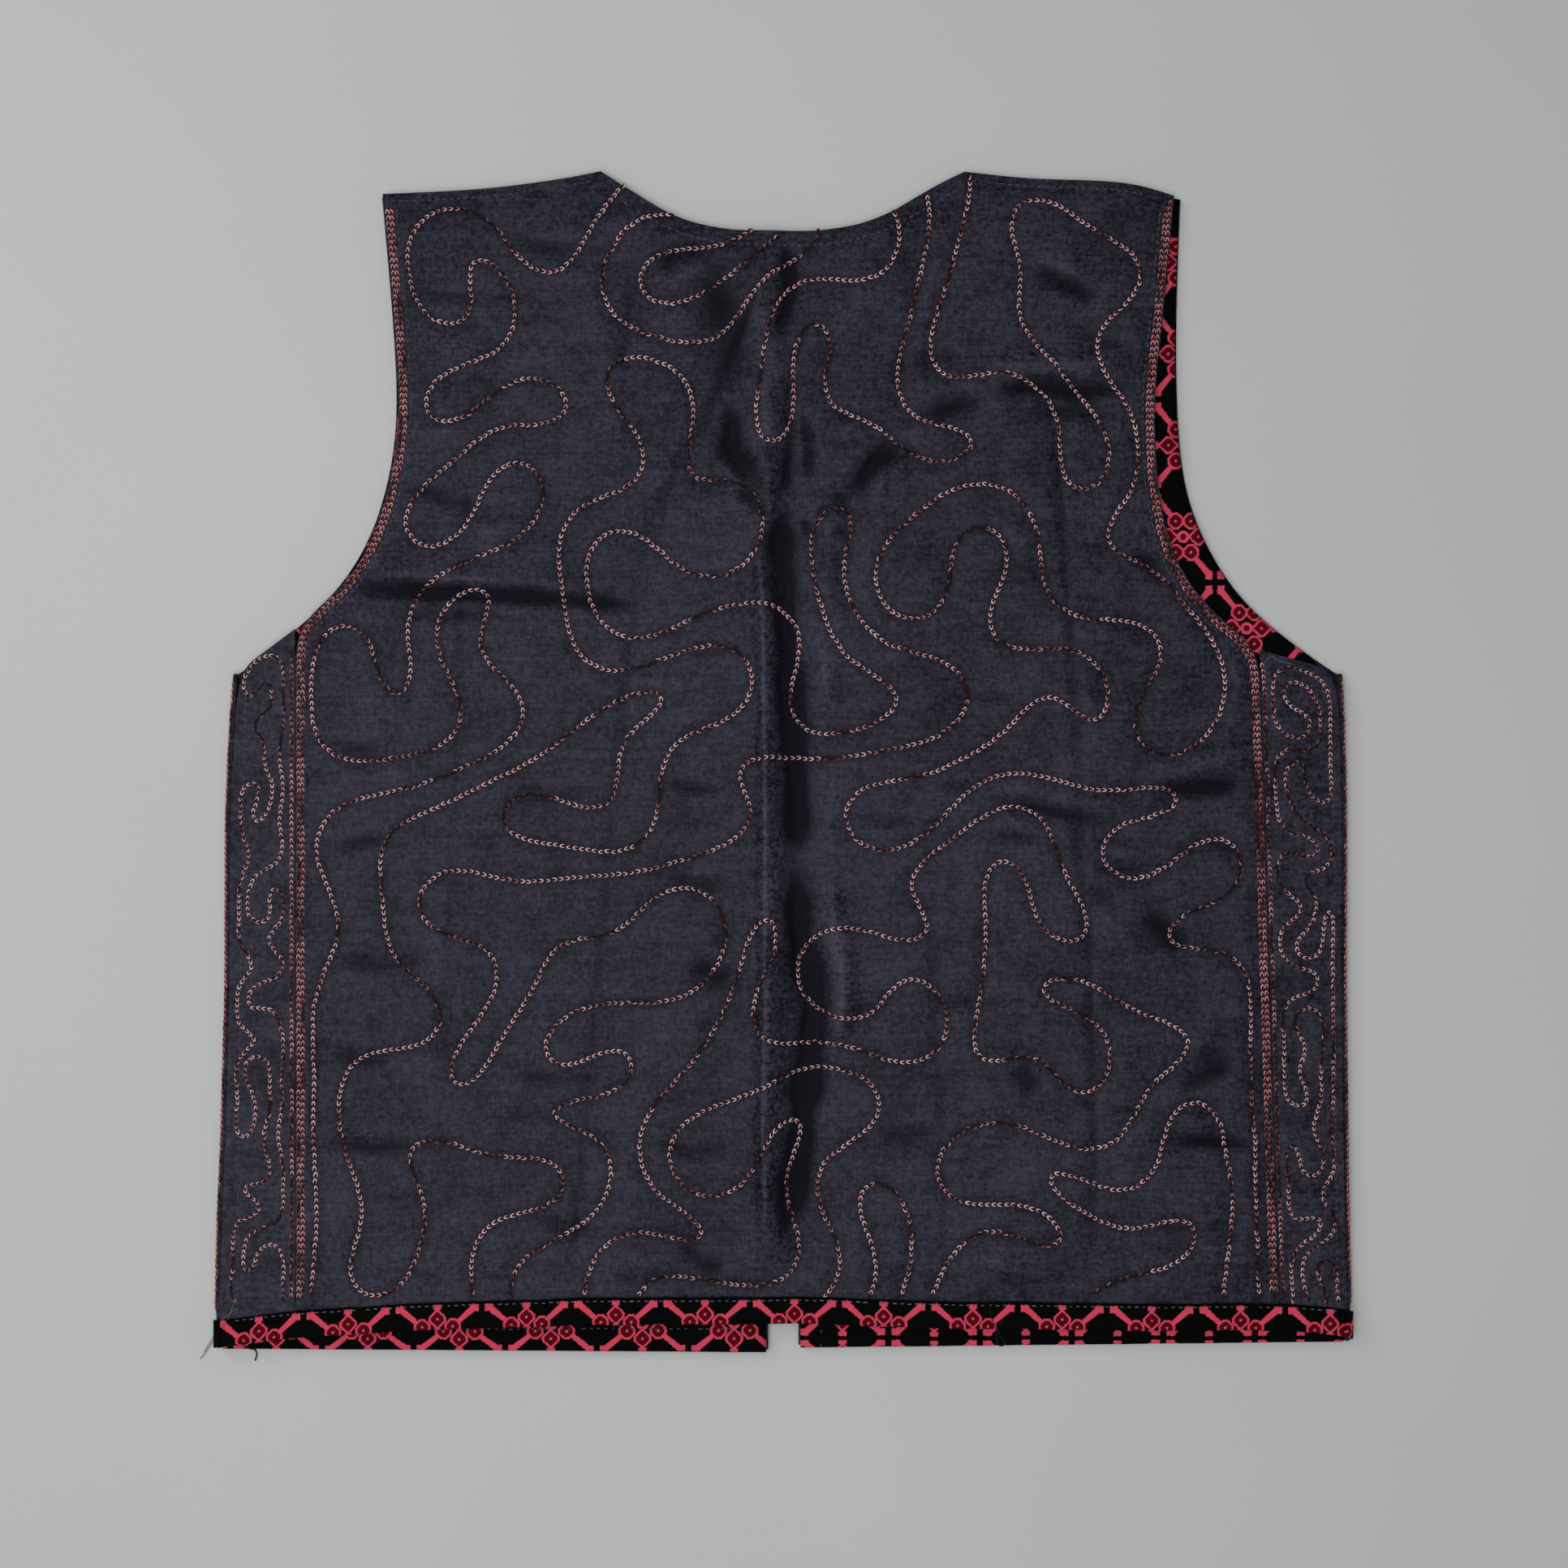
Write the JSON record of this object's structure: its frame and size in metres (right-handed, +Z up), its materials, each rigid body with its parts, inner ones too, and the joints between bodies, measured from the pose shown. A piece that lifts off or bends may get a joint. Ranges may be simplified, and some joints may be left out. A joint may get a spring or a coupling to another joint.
{
  "type": "embroidered folk vest",
  "caption": "Sleeveless adult vest lying flat, back up: dark satin with meandering chain stitch, printed cotton lining and hem band.",
  "frame": {"origin": "on the resting plane, under the middle of the vest's outline", "axes": "+X towards the vest's right-hand edge as seen from above, +Y towards the neck, +Z up out of the back"},
  "size_m": [0.485, 0.503, 0.0083],
  "materials": {
    "satin": "dark navy satin with a fine slub and a soft sheen",
    "print": "matt printed cotton, rose lattice and dark red flowers on black"
  },
  "bodies": {
    "root": {"back_panel": "satin", "side_panel_left": "satin", "side_panel_right": "satin", "front_left": "satin", "front_right": "satin", "lining_left": "print", "lining_right": "print", "band_back": "print", "band_corner_left": "print", "band_corner_right": "print"}
  },
  "joints": []
}
